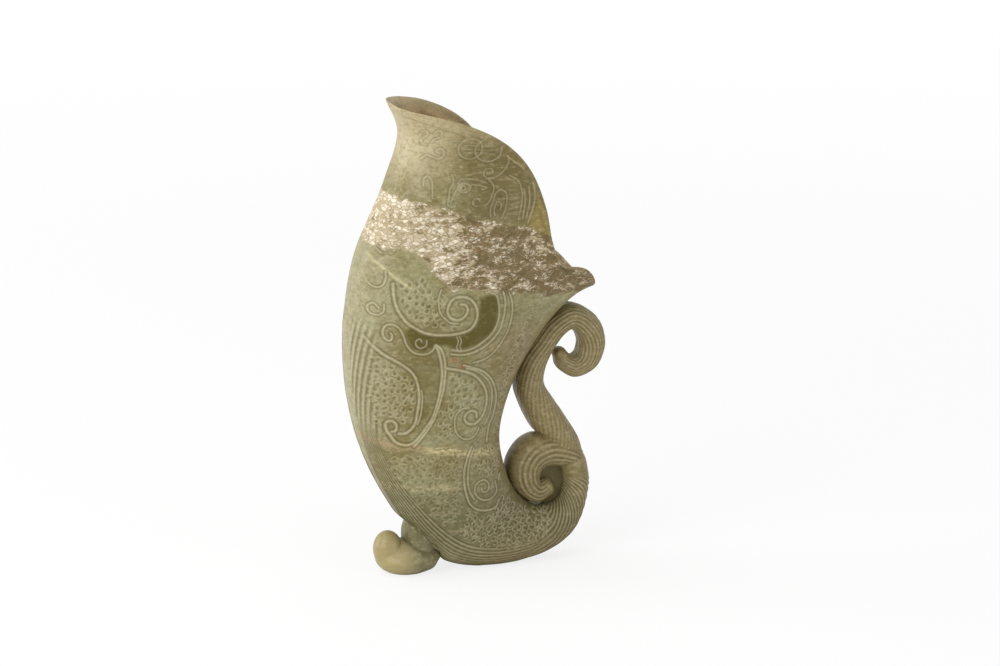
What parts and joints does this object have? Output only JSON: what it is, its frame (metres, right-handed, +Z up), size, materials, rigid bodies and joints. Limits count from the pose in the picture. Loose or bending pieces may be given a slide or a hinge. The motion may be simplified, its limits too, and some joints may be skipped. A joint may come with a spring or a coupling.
{
  "type": "rhyton",
  "caption": "Carved stone drinking horn: curved hollow cup with a flared saddle-shaped mouth, a tail that parts into a volute and a hooked strand, and a scroll foot.",
  "frame": {"origin": "on the surface that it stands on, under the middle of its bounding box", "axes": "+Z up, +X from the horn's back towards its tail and spout, the mirror plane is y = 0"},
  "size_m": [0.112, 0.058, 0.197],
  "materials": {
    "olive_stone": "hand-polished mottled olive-green hard stone with a white vein and fine engraving"
  },
  "bodies": {
    "root": {"lip_band": "olive_stone", "upper_horn": "olive_stone", "lower_horn": "olive_stone", "belly": "olive_stone", "tail_trunk": "olive_stone", "tail_strand": "olive_stone", "tail_hook": "olive_stone", "tail_volute": "olive_stone", "foot_stalk": "olive_stone", "foot_scroll": "olive_stone"}
  },
  "joints": []
}
